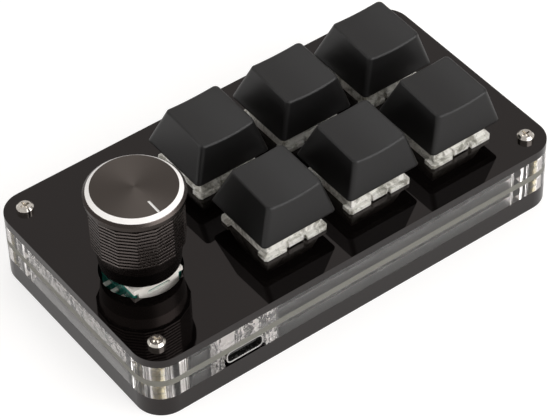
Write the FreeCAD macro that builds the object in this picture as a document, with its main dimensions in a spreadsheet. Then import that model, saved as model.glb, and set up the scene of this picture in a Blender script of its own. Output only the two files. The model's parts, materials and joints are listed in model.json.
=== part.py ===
# Desk keypad: six sprung keys and one knob that turns and pushes, on a sandwich of cut plastic
# sheets and a circuit board. Millimetres, +Z up. The origin is the middle of the underside. The
# long side with the data socket faces -Y, and the knob is at the -X end.
import FreeCAD, Part
import math
import os

import Sketcher

VECTOR = FreeCAD.Vector
UP = VECTOR(0, 0, 1)

# Driving sizes, one sheet cell each
SIZES = {
    # Sheets of the case, from the underside up
    "case_length": 103.4,
    "case_width": 56.5,
    "case_corner_radius": 6.0,
    "bottom_plate_thickness": 4.8,
    "lower_frame_thickness": 3.7,
    "board_thickness": 1.6,
    "upper_frame_thickness": 3.8,
    "top_plate_thickness": 2.0,
    "frame_wall": 5.0,
    "frame_pad": 9.6,
    "frame_inner_radius": 1.5,
    "frame_recess_wall": 2.5,
    "frame_recess_width": 15.0,
    "frame_recess_shift": 1.0,
    "sheet_gap": 0.01,
    # Fasteners at the four corners
    "fastener_inset": 4.9,
    "screw_diameter": 2.0,
    "screw_hole_gap": 0.1,
    "thread_gap": 0.02,
    "screw_head_diameter": 3.6,
    "screw_head_height": 1.3,
    "screw_head_crown": 0.45,
    "screw_slot_width": 0.5,
    "screw_slot_length": 2.0,
    "screw_slot_depth": 0.7,
    "top_screw_reach": 3.0,
    "bottom_screw_reach": 3.0,
    "countersink_depth": 1.0,
    "countersink_diameter": 4.0,
    "standoff_diameter": 3.5,
    "standoff_hole_gap": 0.1,
    # Grid of keys
    "key_pitch_across": 21.4,
    "key_pitch_deep": 22.3,
    "key_gap_share": 0.486,
    # Key switch, heights from the top plate's upper face
    "switch_box": 13.95,
    "switch_hole_gap": 0.025,
    "switch_depth": 5.0,
    "flange_size": 15.6,
    "flange_height": 1.0,
    "flange_notch_width": 5.2,
    "flange_notch_depth": 0.8,
    "flange_recess_length": 10.2,
    "flange_corner": 0.5,
    "switch_wall": 1.2,
    "switch_floor": 1.2,
    "guide_diameter": 3.2,
    "guide_height": 1.0,
    "guide_end_wall": 0.5,
    "boss_diameter": 3.9,
    "boss_hole_gap": 0.1,
    "boss_length": 3.3,
    "lid_height": 5.6,
    "lid_base": 13.9,
    "lid_top_across": 11.0,
    "lid_top_deep": 10.2,
    "lid_wall": 1.0,
    "clip_width": 3.6,
    "clip_reach": 0.55,
    "clip_height": 0.65,
    "clip_gap": 0.05,
    "slider_across": 6.9,
    "slider_deep": 5.9,
    "slider_shoulder": 0.8,
    "slider_gap": 0.1,
    "slider_foot": 3.5,
    "slider_top_gap": 0.05,
    "pole_diameter": 2.0,
    "pole_gap": 0.08,
    "pole_length": 5.6,
    "cross_height": 3.6,
    "cross_length": 4.0,
    "cross_width": 1.2,
    "spring_outer_diameter": 4.4,
    "spring_inner_diameter": 3.6,
    "spring_end_gap": 0.02,
    "pin_first_x": -3.81,
    "pin_first_y": 2.54,
    "pin_second_x": 2.54,
    "pin_second_y": 5.08,
    "pin_width": 1.1,
    "pin_thickness": 0.3,
    "pin_length": 3.3,
    "pin_hole_diameter": 1.5,
    # Keycap, heights from the top plate's upper face
    "cap_skirt_size": 18.1,
    "cap_corner_radius": 1.1,
    "cap_skirt_height": 5.45,
    "cap_top_across": 12.9,
    "cap_top_deep": 13.1,
    "cap_top_shift": 1.0,
    "cap_top_height": 14.4,
    "cap_blank_rise": 1.2,
    "cap_top_tilt": 3.0,
    "cap_dish_depth": 0.55,
    "cap_edge_bevel": 0.26,
    "cap_wall": 1.25,
    "cap_roof": 1.6,
    "cap_socket_diameter": 5.5,
    "cap_socket_lift": 0.15,
    "cap_cross_gap": 0.04,
    # Rotary encoder, heights from the board's upper face
    "encoder_from_end": 14.3,
    "encoder_y": -4.4,
    "encoder_hole_diameter": 17.2,
    "encoder_across": 11.7,
    "encoder_deep": 11.2,
    "encoder_base_height": 6.3,
    "encoder_wall": 1.2,
    "encoder_floor": 0.6,
    "cover_overhang": 0.6,
    "cover_thickness": 1.0,
    "leg_thickness": 0.6,
    "leg_across": 9.6,
    "leg_bottom": 0.8,
    "leg_slot_across": 5.4,
    "leg_slot_height": 0.9,
    "leg_slot_middle": 5.2,
    "lug_across": 2.0,
    "lug_reach": 2.6,
    "lug_hole_gap": 0.2,
    "bushing_diameter": 7.0,
    "bushing_height": 7.0,
    "bushing_seat_gap": 0.01,
    "shaft_diameter": 6.0,
    "shaft_gap": 0.05,
    "shaft_flat_depth": 1.5,
    "shaft_flat_start": 0.4,
    "collar_diameter": 7.6,
    "collar_height": 0.6,
    "collar_gap": 0.05,
    "tongue_diameter": 4.4,
    "tongue_thickness": 3.0,
    "tongue_gap": 0.05,
    "rotor_diameter": 8.2,
    "rotor_thickness": 1.2,
    "rotor_lift": 2.0,
    "dome_diameter": 5.0,
    "dome_crown_diameter": 1.6,
    "dome_height": 0.95,
    "dome_thickness": 0.2,
    "dome_gap": 0.02,
    "terminal_spread": 7.5,
    "terminal_pitch": 2.5,
    "terminal_width": 0.9,
    "terminal_thickness": 0.35,
    "terminal_height": 3.4,
    "terminal_reach": 2.6,
    "terminal_hole_diameter": 1.2,
    "knob_travel": 0.5,
    # Knob
    "knob_clearance": 2.8,
    "knob_height": 19.6,
    "knob_disc_diameter": 17.5,
    "knob_ring_diameter": 19.2,
    "knob_ring_drop": 0.75,
    "knob_collar_diameter": 20.4,
    "knob_collar_round": 0.6,
    "knob_collar_height": 1.55,
    "knob_groove_diameter": 18.2,
    "knob_groove_height": 1.1,
    "knob_band_diameter": 19.3,
    "knob_band_height": 9.9,
    "knob_rib_depth": 0.4,
    "knob_rib_height": 0.42,
    "knob_band_core_inset": 0.15,
    "knob_facet_start": -3.6,
    "knob_skirt_top_diameter": 18.0,
    "knob_skirt_bottom_diameter": 16.6,
    "knob_bore_diameter": 14.0,
    "knob_roof": 1.3,
    "core_lift": 0.8,
    "core_gap": 0.02,
    "core_recess_gap": 0.5,
    "core_recess_lift": 0.4,
    "core_shaft_gap": 0.03,
    "core_shaft_end_gap": 0.4,
    "pointer_angle": -91.3,
    "pointer_inner_radius": 5.0,
    "pointer_width": 0.55,
    "pointer_depth": 0.15,
    # Data socket under the board
    "socket_from_end": 22.2,
    "socket_set_back": 0.1,
    "socket_width": 8.94,
    "socket_height": 3.2,
    "socket_depth": 7.35,
    "socket_wall": 0.3,
    "socket_radius": 1.25,
    "socket_base_depth": 2.2,
    "socket_tongue_width": 6.7,
    "socket_tongue_thickness": 0.7,
    "socket_tongue_set_back": 0.8,
    "socket_notch_width": 10.0,
    # Parts soldered under the board
    "chip_from_keys": 20.0,
    "chip_across": 9.9,
    "chip_deep": 3.9,
    "chip_height": 1.4,
    "chip_stand_off": 0.1,
    "chip_leg_pitch": 1.27,
    "chip_leg_width": 0.42,
    "chip_leg_reach": 1.05,
    "chip_leg_thickness": 0.25,
    "small_part_from_keys": 8.0,
    "small_part_across": 1.25,
    "small_part_deep": 2.0,
    "small_part_height": 0.7,
    "small_part_pitch": 3.2,
}
RIB_COUNT = 12
KNOB_SIDE_COUNT = 15
CHIP_LEG_COUNT = 8
SMALL_PART_COUNT = 5
SIGNAL_PIN_COUNT = 3
SWITCH_PIN_COUNT = 2

doc = FreeCAD.newDocument("keypad")
sheet = doc.addObject("Spreadsheet::Sheet", "sizes")
for row, (alias, value) in enumerate(SIZES.items(), start=1):
    sheet.set("A%d" % row, alias)
    sheet.set("B%d" % row, str(value))
    sheet.setAlias("B%d" % row, alias)
doc.recompute()


class Size:
    """A value together with the sheet formula that gives it."""

    def __init__(self, text, value):
        self.text = text
        self.value = value

    def __add__(self, other):
        other = as_size(other)
        return Size("(%s + %s)" % (self.text, other.text), self.value + other.value)

    def __sub__(self, other):
        other = as_size(other)
        return Size("(%s - %s)" % (self.text, other.text), self.value - other.value)

    def __mul__(self, factor):
        factor = as_size(factor)
        return Size("(%s * %s)" % (self.text, factor.text), self.value * factor.value)

    def __truediv__(self, factor):
        factor = as_size(factor)
        return Size("(%s / %s)" % (self.text, factor.text), self.value / factor.value)

    def __neg__(self):
        return Size("(-1 * %s)" % self.text, -self.value)


def as_size(value):
    if isinstance(value, Size):
        return value
    return Size("(%r)" % float(value), float(value))


class Cells:
    """The sheet's cells by name."""

    def __getattr__(self, alias):
        return Size("sizes.%s" % alias, float(getattr(sheet, alias)))


s = Cells()
ZERO = as_size(0)


def bind(thing, **formulas):
    for name, size in formulas.items():
        thing.setExpression(name, as_size(size).text)
    return thing


def place(thing, x=ZERO, y=ZERO, z=ZERO):
    """Puts an object at formulas of the sheet."""
    for axis, size in zip("xyz", (x, y, z)):
        thing.setExpression("Placement.Base." + axis, as_size(size).text)
    return thing


def box(across, deep, high, x=ZERO, y=ZERO, z=ZERO, name="box"):
    """A box centred on x and y that stands on z."""
    thing = doc.addObject("Part::Box", name)
    across, deep = as_size(across), as_size(deep)
    bind(thing, Length=across, Width=deep, Height=high)
    return place(thing, as_size(x) - across / 2, as_size(y) - deep / 2, z)


def cylinder(diameter, high, x=ZERO, y=ZERO, z=ZERO, name="cylinder"):
    thing = doc.addObject("Part::Cylinder", name)
    bind(thing, Radius=as_size(diameter) / 2, Height=high)
    return place(thing, x, y, z)


def cone(lower, upper, high, x=ZERO, y=ZERO, z=ZERO, name="cone"):
    thing = doc.addObject("Part::Cone", name)
    bind(thing, Radius1=as_size(lower) / 2, Radius2=as_size(upper) / 2, Height=high)
    return place(thing, x, y, z)


def fuse(*things, name="union"):
    if len(things) == 1:
        return things[0]
    thing = doc.addObject("Part::MultiFuse", name)
    thing.Shapes = list(things)
    return thing


def cut(base, *tools, name="cut"):
    thing = doc.addObject("Part::Cut", name)
    thing.Base = base
    thing.Tool = fuse(*tools, name=name + "_tools")
    return thing


def common(first, second, name="common"):
    thing = doc.addObject("Part::Common", name)
    thing.Base = first
    thing.Tool = second
    return thing


def group(*things, name="group"):
    thing = doc.addObject("Part::Compound", name)
    thing.Links = list(things)
    return thing


# Finished sub-parts by label
nodes = {}


def node(label, thing, x=ZERO, y=ZERO, z=ZERO):
    """Names a finished sub-part and puts it in its place."""
    thing.Label = label
    place(thing, x, y, z)
    nodes[label] = thing
    return thing


def new_body(name):
    return doc.addObject("PartDesign::Body", name)


def origin_part(body, role):
    return [part for part in body.Origin.OriginFeatures if part.Role == role][0]


def new_sketch(body, name, plane="XY_Plane", lift=None, tilt=None, shift=None):
    """A sketch on one of the body's own planes, lifted, tilted about its X and shifted along its Y."""
    sketch = body.newObject("Sketcher::SketchObject", name)
    sketch.AttachmentSupport = [(origin_part(body, plane), "")]
    sketch.MapMode = "FlatFace"
    if tilt is not None:
        lean = FreeCAD.Rotation(VECTOR(1, 0, 0), tilt.value)
        sketch.AttachmentOffset = FreeCAD.Placement(VECTOR(0, 0, 0), lean)
    if lift is not None:
        sketch.setExpression("AttachmentOffset.Base.z", as_size(lift).text)
    if shift is not None:
        sketch.setExpression("AttachmentOffset.Base.y", as_size(shift).text)
    return sketch


def hold(sketch, kind, *where):
    """Adds one constraint; its last entry may be a size, which stays bound to the sheet."""
    size = where[-1] if isinstance(where[-1], Size) else None
    plain = where[:-1] + (size.value,) if size is not None else where
    index = sketch.addConstraint(Sketcher.Constraint(kind, *plain))
    if size is not None:
        sketch.setExpression("Constraints[%d]" % index, size.text)


def draw_circle(sketch, diameter, x=ZERO, y=ZERO):
    diameter, x, y = as_size(diameter), as_size(x), as_size(y)
    circle = Part.Circle(VECTOR(x.value, y.value, 0), UP, diameter.value / 2)
    index = sketch.addGeometry(circle, False)
    hold(sketch, "DistanceX", -1, 1, index, 3, x)
    hold(sketch, "DistanceY", -1, 1, index, 3, y)
    hold(sketch, "Diameter", index, diameter)


def draw_polygon(sketch, points):
    """A closed outline whose corners are (x, y) sizes."""
    corners = [(as_size(x), as_size(y)) for x, y in points]
    count = len(corners)
    first = sketch.GeometryCount
    for i, (x, y) in enumerate(corners):
        nx, ny = corners[(i + 1) % count]
        line = Part.LineSegment(VECTOR(x.value, y.value, 0), VECTOR(nx.value, ny.value, 0))
        sketch.addGeometry(line, False)
    for i in range(count):
        hold(sketch, "Coincident", first + i, 2, first + (i + 1) % count, 1)
    for i, (x, y) in enumerate(corners):
        hold(sketch, "DistanceX", -1, 1, first + i, 1, x)
        hold(sketch, "DistanceY", -1, 1, first + i, 1, y)


def draw_rectangle(sketch, across, deep, x=ZERO, y=ZERO):
    half_x, half_y = as_size(across) / 2, as_size(deep) / 2
    x, y = as_size(x), as_size(y)
    draw_polygon(sketch, [(x - half_x, y - half_y), (x + half_x, y - half_y),
                          (x + half_x, y + half_y), (x - half_x, y + half_y)])


def draw_rounded_rectangle(sketch, across, deep, radius, x=ZERO, y=ZERO):
    """Four corner arcs joined by tangent lines."""
    half_x, half_y = as_size(across) / 2, as_size(deep) / 2
    x, y, radius = as_size(x), as_size(y), as_size(radius)
    first = sketch.GeometryCount
    middles = []
    quarter = math.pi / 2
    for turns, (side_x, side_y) in enumerate(((-1, -1), (1, -1), (1, 1), (-1, 1))):
        middle = VECTOR(x.value + side_x * (half_x.value - radius.value),
                        y.value + side_y * (half_y.value - radius.value), 0)
        middles.append((middle, math.pi + quarter * turns))
    for i, (middle, start) in enumerate(middles):
        stop = start + quarter
        sketch.addGeometry(Part.ArcOfCircle(Part.Circle(middle, UP, radius.value), start, stop), False)
        following, following_start = middles[(i + 1) % 4]
        end = middle + VECTOR(math.cos(stop), math.sin(stop), 0) * radius.value
        begin = following + VECTOR(math.cos(following_start), math.sin(following_start), 0) * radius.value
        sketch.addGeometry(Part.LineSegment(end, begin), False)
    for i in range(4):
        arc, line, following = first + 2 * i, first + 2 * i + 1, first + (2 * i + 2) % 8
        hold(sketch, "Tangent", arc, 2, line, 1)
        hold(sketch, "Tangent", line, 2, following, 1)
        hold(sketch, "Horizontal" if i % 2 == 0 else "Vertical", line)
    for i in range(1, 4):
        hold(sketch, "Equal", first, first + 2 * i)
    hold(sketch, "Radius", first, radius)
    hold(sketch, "DistanceX", -1, 1, first, 1, x - half_x)
    hold(sketch, "DistanceX", -1, 1, first + 4, 1, x + half_x)
    hold(sketch, "DistanceY", -1, 1, first, 2, y - half_y)
    hold(sketch, "DistanceY", -1, 1, first + 4, 2, y + half_y)


def pad(body, sketch, length, name="pad"):
    feature = body.newObject("PartDesign::Pad", name)
    feature.Profile = sketch
    return bind(feature, Length=length)


def pocket(body, sketch, length=None, name="pocket", upwards=False):
    """Cuts away from the sketch's plane, down unless upwards, and right through with no length."""
    feature = body.newObject("PartDesign::Pocket", name)
    feature.Profile = sketch
    feature.Reversed = upwards
    if length is None:
        feature.Type = "ThroughAll"
    else:
        bind(feature, Length=length)
    return feature


def tapered_block(body, kind, low, high, low_size, high_size, name, shift=ZERO):
    """A four-sided taper between two level rectangles, the upper one moved along Y by shift."""
    wedge = body.newObject("PartDesign::%sWedge" % kind, name)
    wedge.Placement.Rotation = FreeCAD.Rotation(VECTOR(1, 0, 0), 90)
    low_x, low_y, high_x, high_y = [as_size(size) / 2 for size in low_size + high_size]
    return bind(wedge, Xmin=-low_x, Xmax=low_x, Zmin=-low_y, Zmax=low_y, X2min=-high_x, X2max=high_x,
                Z2min=-high_y - shift, Z2max=high_y - shift, Ymin=low, Ymax=high)


def revolve(body, kind, sketch, name):
    """A full turn of the sketch about its own vertical axis."""
    feature = body.newObject("PartDesign::" + kind, name)
    feature.Profile = sketch
    feature.ReferenceAxis = (sketch, ["V_Axis"])
    feature.Angle = 360.0
    return feature


def dress_edges(body, kind, feature, wanted, name):
    """Rounds or bevels the edges of a feature that the wanted function picks."""
    doc.recompute()
    picked = ["Edge%d" % (i + 1) for i, edge in enumerate(feature.Shape.Edges) if wanted(edge)]
    dressed = body.newObject("PartDesign::" + kind, name)
    dressed.Base = (feature, picked)
    return dressed


def fillet(body, feature, wanted, radius, name):
    return bind(dress_edges(body, "Fillet", feature, wanted, name), Radius=radius)


def chamfer(body, feature, wanted, size, name):
    return bind(dress_edges(body, "Chamfer", feature, wanted, name), Size=size)


# Levels of the case, with a film of air on both faces of each clear sheet
z_standoff = s.bottom_plate_thickness
z_lower_frame = z_standoff + s.sheet_gap
z_board = z_lower_frame + s.lower_frame_thickness + s.sheet_gap
z_board_top = z_board + s.board_thickness
z_upper_frame = z_board_top + s.sheet_gap
z_top_plate = z_upper_frame + s.upper_frame_thickness + s.sheet_gap
z_top = z_top_plate + s.top_plate_thickness

half_length = s.case_length / 2
half_width = s.case_width / 2
fastener_x = half_length - s.fastener_inset
fastener_y = half_width - s.fastener_inset
encoder_x = s.encoder_from_end - half_length
socket_x = s.socket_from_end - half_length
knob_side = s.encoder_from_end + s.knob_collar_diameter / 2
spare_length = s.case_length - knob_side - s.key_pitch_across * 2 - s.cap_skirt_size
first_key_x = knob_side + spare_length * s.key_gap_share + s.cap_skirt_size / 2 - half_length
key_middle_x = first_key_x + s.key_pitch_across
CORNERS = [(1, 1), (-1, 1), (-1, -1), (1, -1)]
KEYS = [(row_name + "_" + column_name, column, row)
        for row_name, row in (("front", -1), ("rear", 1))
        for column_name, column in (("left", -1), ("middle", 0), ("right", 1))]


def key_place(column, row):
    return key_middle_x + s.key_pitch_across * column, s.key_pitch_deep * row / 2


def case_sheet(name, thickness):
    """A cut sheet with the outline that all five layers share."""
    body = new_body(name)
    outline = new_sketch(body, name + "_outline")
    draw_rounded_rectangle(outline, s.case_length, s.case_width, s.case_corner_radius)
    pad(body, outline, thickness, name + "_sheet")
    return body


def draw_corner_holes(sketch, diameter):
    for side_x, side_y in CORNERS:
        draw_circle(sketch, diameter, fastener_x * side_x, fastener_y * side_y)


def make_bottom_plate():
    """The thick lowest sheet, countersunk from below."""
    body = case_sheet("bottom_plate_body", s.bottom_plate_thickness)
    holes = new_sketch(body, "bottom_plate_holes")
    draw_corner_holes(holes, s.screw_diameter + s.screw_hole_gap * 2)
    pocket(body, holes, name="bottom_plate_drill", upwards=True)
    sinks = [cone(s.countersink_diameter, s.screw_diameter, s.countersink_depth,
                  fastener_x * side_x, fastener_y * side_y, name="countersink")
             for side_x, side_y in CORNERS]
    return cut(body, *sinks, name="bottom_plate_cut")


def draw_window(sketch):
    """The inside of a frame: steps in round the fastener pads and out behind the data socket."""
    wall_x, wall_y = half_length - s.frame_wall, half_width - s.frame_wall
    pad_x, pad_y = half_length - s.frame_pad, half_width - s.frame_pad
    recess_y = half_width - s.frame_recess_wall
    recess_left = socket_x + s.frame_recess_shift - s.frame_recess_width / 2
    recess_right = recess_left + s.frame_recess_width
    draw_polygon(sketch, [
        (-pad_x, -wall_y), (recess_left, -wall_y), (recess_left, -recess_y), (recess_right, -recess_y),
        (recess_right, -wall_y), (pad_x, -wall_y), (pad_x, -pad_y), (wall_x, -pad_y),
        (wall_x, pad_y), (pad_x, pad_y), (pad_x, wall_y), (-pad_x, wall_y),
        (-pad_x, pad_y), (-wall_x, pad_y), (-wall_x, -pad_y), (-pad_x, -pad_y)])


def make_frame(name, thickness):
    """A clear sheet cut out to a wall, with pads round the standoffs."""
    body = case_sheet(name, thickness)
    window = new_sketch(body, name + "_window")
    draw_window(window)
    opened = pocket(body, window, name=name + "_window_cut", upwards=True)
    longest = (half_length - s.frame_wall).value + s.frame_inner_radius.value / 2
    widest = (half_width - s.frame_wall).value + s.frame_inner_radius.value / 2

    def inner_corner(edge):
        middle = edge.BoundBox.Center
        upright = edge.BoundBox.ZLength > thickness.value / 2
        return upright and abs(middle.x) < longest and abs(middle.y) < widest

    fillet(body, opened, inner_corner, s.frame_inner_radius, name + "_rounds")
    holes = new_sketch(body, name + "_holes")
    draw_corner_holes(holes, s.standoff_diameter + s.standoff_hole_gap * 2)
    pocket(body, holes, name=name + "_drill", upwards=True)
    return body


def make_lower_frame():
    body = make_frame("lower_frame_body", s.lower_frame_thickness)
    notch = new_sketch(body, "socket_notch")
    draw_rectangle(notch, s.socket_notch_width, s.frame_wall * 2, socket_x, -half_width)
    pocket(body, notch, name="socket_notch_cut", upwards=True)
    return body


def make_top_plate():
    body = case_sheet("top_plate_body", s.top_plate_thickness)
    holes = new_sketch(body, "top_plate_holes")
    draw_corner_holes(holes, s.screw_diameter + s.screw_hole_gap * 2)
    draw_circle(holes, s.encoder_hole_diameter, encoder_x, s.encoder_y)
    pocket(body, holes, name="top_plate_drill", upwards=True)
    squares = new_sketch(body, "switch_holes")
    side = s.switch_box + s.switch_hole_gap * 2
    for label, column, row in KEYS:
        x, y = key_place(column, row)
        draw_rectangle(squares, side, side, x, y)
    pocket(body, squares, name="switch_holes_cut", upwards=True)
    return body


def switch_pin_places(x, y):
    return [(x + s.pin_first_x, y + s.pin_first_y), (x + s.pin_second_x, y + s.pin_second_y)]


def encoder_terminal_places():
    """Rows of terminals beside the encoder, as (x, y, side): the turning contacts and the push switch."""
    places = []
    for side, count, pitch in ((-1, SIGNAL_PIN_COUNT, s.terminal_pitch),
                               (1, SWITCH_PIN_COUNT, s.terminal_pitch * 2)):
        for i in range(count):
            places.append((s.terminal_spread * side, pitch * (i - (count - 1) / 2), side))
    return places


def make_board():
    body = case_sheet("board_body", s.board_thickness)
    holes = new_sketch(body, "board_holes")
    draw_corner_holes(holes, s.standoff_diameter + s.standoff_hole_gap * 2)
    for label, column, row in KEYS:
        x, y = key_place(column, row)
        draw_circle(holes, s.boss_diameter + s.boss_hole_gap * 2, x, y)
        for pin_x, pin_y in switch_pin_places(x, y):
            draw_circle(holes, s.pin_hole_diameter, pin_x, pin_y)
    for x, y, side in encoder_terminal_places():
        draw_circle(holes, s.terminal_hole_diameter, encoder_x + x, s.encoder_y + y)
    pocket(body, holes, name="board_drill", upwards=True)
    slots = new_sketch(body, "board_slots")
    for side in (-1, 1):
        draw_rectangle(slots, s.lug_across + s.lug_hole_gap * 2, s.leg_thickness + s.lug_hole_gap * 2,
                       encoder_x, s.encoder_y + leg_y * side)
    pocket(body, slots, name="board_slot_cut", upwards=True)
    return body


def crossed_slots(length, width, depth, top, name):
    """Two crossed boxes that end at the height top."""
    return (box(length, width, depth, z=top - depth, name=name),
            box(width, length, depth, z=top - depth, name=name))


def make_top_screw():
    """Pan head with a low crown, about its seat."""
    rim = s.screw_head_height - s.screw_head_crown
    head = fuse(cylinder(s.screw_head_diameter, rim),
                cone(s.screw_head_diameter, s.screw_head_diameter - s.screw_head_crown * 2,
                     s.screw_head_crown, z=rim))
    length = s.top_plate_thickness + s.top_screw_reach
    shank = cylinder(s.screw_diameter, length, z=-length)
    drive = crossed_slots(s.screw_slot_length, s.screw_slot_width, s.screw_slot_depth,
                          s.screw_head_height, "drive_slot")
    return cut(fuse(head, shank), *drive, name="top_screw")


def make_bottom_screw():
    """Flat head, flush with the underside."""
    head = cone(s.countersink_diameter - s.screw_hole_gap * 2, s.screw_diameter, s.countersink_depth)
    shank = cylinder(s.screw_diameter, s.bottom_plate_thickness + s.bottom_screw_reach)
    drive = crossed_slots(s.screw_slot_length, s.screw_slot_width, s.screw_slot_depth,
                          s.screw_slot_depth, "drive_slot")
    return cut(fuse(head, shank), *drive, name="bottom_screw")


def make_standoff():
    """Threaded brass tube that holds the two outer plates apart."""
    length = z_top_plate - z_standoff
    blank = cylinder(s.standoff_diameter, length)
    return cut(blank, cylinder(s.screw_diameter + s.thread_gap * 2, length), name="standoff")


def at_corners(make, z, name):
    return group(*[place(make(), fastener_x * side_x, fastener_y * side_y, z)
                   for side_x, side_y in CORNERS], name=name)


# Levels of a switch
box_bottom = -s.switch_depth
floor_top = box_bottom + s.switch_floor
boss_bottom = box_bottom - s.boss_length
lid_top = s.flange_height + s.lid_height
foot_top = lid_top - s.lid_wall - s.slider_top_gap
foot_bottom = foot_top - s.slider_foot
cross_top = lid_top + s.cross_height


def make_switch_base():
    """Lower housing: flange with notches, box, guide for the slider's pole and the locating boss."""
    side = (s.flange_size - s.flange_notch_depth) / 2
    flange = box(s.flange_size, s.flange_size, s.flange_height, name="flange")
    doc.recompute()
    cornered = doc.addObject("Part::Chamfer", "flange_corners")
    cornered.Base = flange
    cornered.Edges = [(i + 1, s.flange_corner.value, s.flange_corner.value)
                      for i, edge in enumerate(flange.Shape.Edges)
                      if edge.BoundBox.ZLength > s.flange_height.value / 2]
    notches = [box(s.flange_notch_width, s.flange_notch_depth, s.flange_height, y=side * way, name="notch")
               for way in (-1, 1)]
    notches += [box(s.flange_notch_depth, s.flange_recess_length, s.flange_height, x=side * way, name="notch")
                for way in (-1, 1)]
    outer = fuse(cut(cornered, *notches, name="flange_cut"),
                 box(s.switch_box, s.switch_box, s.switch_depth, z=box_bottom, name="switch_box"),
                 cylinder(s.boss_diameter, s.boss_length, z=boss_bottom, name="boss"), name="base_outer")
    inside = s.switch_box - s.switch_wall * 2
    hollow = box(inside, inside, s.flange_height - floor_top, z=floor_top, name="hollow")
    guide = cylinder(s.guide_diameter, s.guide_height, z=floor_top, name="guide")
    bore_bottom = boss_bottom + s.guide_end_wall
    bore = cylinder(s.pole_diameter + s.pole_gap * 2, floor_top + s.guide_height - bore_bottom,
                    z=bore_bottom, name="guide_bore")
    return cut(fuse(cut(outer, hollow, name="base_shell"), guide, name="base_with_guide"), bore,
               name="switch_base")


def make_switch_lid():
    """Upper housing: a tapered hood, open at the top for the slider, with a clip in each notch."""
    body = new_body("lid_body")
    thin = s.lid_wall * 2
    tapered_block(body, "Additive", s.flange_height, lid_top, (s.lid_base, s.lid_base),
                  (s.lid_top_across, s.lid_top_deep), "hood")
    tapered_block(body, "Subtractive", s.flange_height, lid_top - s.lid_wall,
                  (s.lid_base - thin, s.lid_base - thin),
                  (s.lid_top_across - thin, s.lid_top_deep - thin), "hood_inside")
    opening = new_sketch(body, "slider_opening", lift=lid_top)
    draw_rectangle(opening, s.slider_across + s.slider_gap * 2, s.slider_deep + s.slider_gap * 2)
    pocket(body, opening, s.lid_wall * 2, "slider_opening_cut")
    clips = []
    for side in (-1, 1):
        tab = s.clip_reach - s.clip_gap
        clips.append(box(s.clip_width, tab, s.clip_height * 2, name="clip",
                         y=(s.lid_base / 2 + s.clip_gap + tab / 2) * side,
                         z=s.flange_height - s.clip_height))
        root = s.clip_reach + s.lid_wall / 2
        clips.append(box(s.clip_width, root, s.clip_height, name="clip_root",
                         y=(s.lid_base / 2 + s.clip_reach - root / 2) * side, z=s.flange_height))
    return fuse(body, *clips, name="switch_lid")


def make_slider():
    """The moving stem: foot under the lid, block in the opening, cross above and pole below."""
    shoulder = s.slider_shoulder * 2
    foot = box(s.slider_across + shoulder, s.slider_deep + shoulder, s.slider_foot, z=foot_bottom,
               name="foot")
    block = box(s.slider_across, s.slider_deep, lid_top - foot_top, z=foot_top, name="block")
    pole = cylinder(s.pole_diameter, s.pole_length, z=foot_bottom - s.pole_length, name="pole")
    cross = crossed_slots(s.cross_length, s.cross_width, s.cross_height, cross_top, "cross")
    return fuse(foot, block, pole, *cross, name="key_stem")


def make_spring():
    """The coil spring as a plain tube between the housing floor and the slider's foot."""
    length = foot_bottom - floor_top - s.spring_end_gap * 2
    return cut(cylinder(s.spring_outer_diameter, length), cylinder(s.spring_inner_diameter, length),
               name="key_spring")


def make_keycap():
    """Hollow cap with four leaning sides, a tilted top dished across, and a socket for the cross."""
    body = new_body("keycap_body")
    height = s.cap_top_height - s.cap_skirt_height
    lean_across = (s.cap_top_across - s.cap_skirt_size) / height
    lean_deep = (s.cap_top_deep - s.cap_skirt_size) / height
    lean_shift = s.cap_top_shift / height
    blank = height + s.cap_blank_rise
    shell = tapered_block(body, "Additive", s.cap_skirt_height, s.cap_skirt_height + blank,
                          (s.cap_skirt_size, s.cap_skirt_size),
                          (s.cap_skirt_size + lean_across * blank, s.cap_skirt_size + lean_deep * blank),
                          "cap_shell", -lean_shift * blank)

    def leaning_edge(edge):
        return edge.BoundBox.ZLength > height.value / 2

    fillet(body, shell, leaning_edge, s.cap_corner_radius, "cap_corners")
    dish = new_sketch(body, "dish", plane="XZ_Plane", tilt=s.cap_top_tilt, shift=s.cap_top_height,
                      lift=s.cap_top_shift)
    dish_radius = s.cap_top_across * s.cap_top_across / (s.cap_dish_depth * 8) + s.cap_dish_depth / 2
    draw_circle(dish, dish_radius * 2, ZERO, dish_radius - s.cap_dish_depth)
    scoop = pocket(body, dish, s.cap_skirt_size * 2, "dish_cut")
    scoop.Midplane = True

    def dish_edge(edge):
        return edge.BoundBox.ZMin > (s.cap_top_height - s.cap_roof).value

    chamfer(body, scoop, dish_edge, s.cap_edge_bevel, "cap_bevel")
    inside = height - s.cap_roof
    thin = s.cap_wall * 2
    open_size = s.cap_skirt_size - thin
    tapered_block(body, "Subtractive", s.cap_skirt_height, s.cap_skirt_height + inside,
                  (open_size, open_size), (open_size + lean_across * inside, open_size + lean_deep * inside),
                  "cap_inside", -lean_shift * inside)
    ceiling = s.cap_skirt_height + inside
    socket_bottom = lid_top + s.cap_socket_lift
    post = cylinder(s.cap_socket_diameter, ceiling + s.cap_roof / 2 - socket_bottom, z=socket_bottom,
                    name="post")
    grip = s.cap_cross_gap * 2
    socket = crossed_slots(s.cross_length + grip, s.cross_width + grip, cross_top - socket_bottom,
                           cross_top, "cross_slot")
    return cut(fuse(body, post, name="cap_with_post"), *socket, name="keycap")


def make_switch_pin(x, y):
    return box(s.pin_width, s.pin_thickness, s.pin_length, x, y, z_top + box_bottom - s.pin_length, "pin")


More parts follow.
